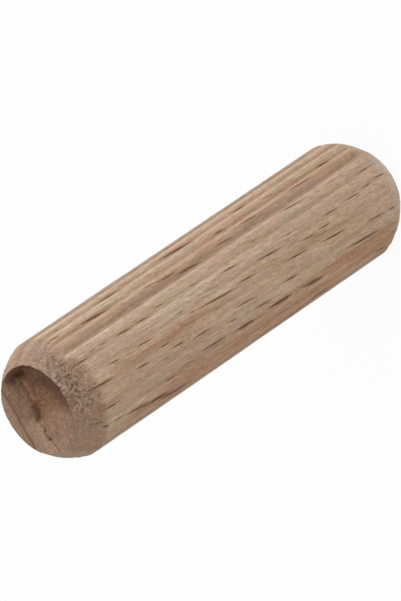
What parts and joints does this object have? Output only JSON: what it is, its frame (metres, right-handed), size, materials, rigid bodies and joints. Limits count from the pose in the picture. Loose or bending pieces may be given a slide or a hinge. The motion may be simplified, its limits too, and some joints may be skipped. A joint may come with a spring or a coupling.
{
  "type": "dowel pin",
  "caption": "Fluted wooden dowel pin with chamfered ends, one of them torn hollow along the growth rings.",
  "frame": {"origin": "middle of the flat sawn end, which is also the middle of the box's underside", "axes": "+Z along the pin towards the torn end, +X towards the deep side of the torn hollow, +Y towards its lip"},
  "size_m": [0.01, 0.01, 0.04],
  "materials": {
    "beech": "bare turned wood with pressed flutes and a torn end"
  },
  "bodies": {
    "root": {"dowel_pin": "beech"}
  },
  "joints": []
}
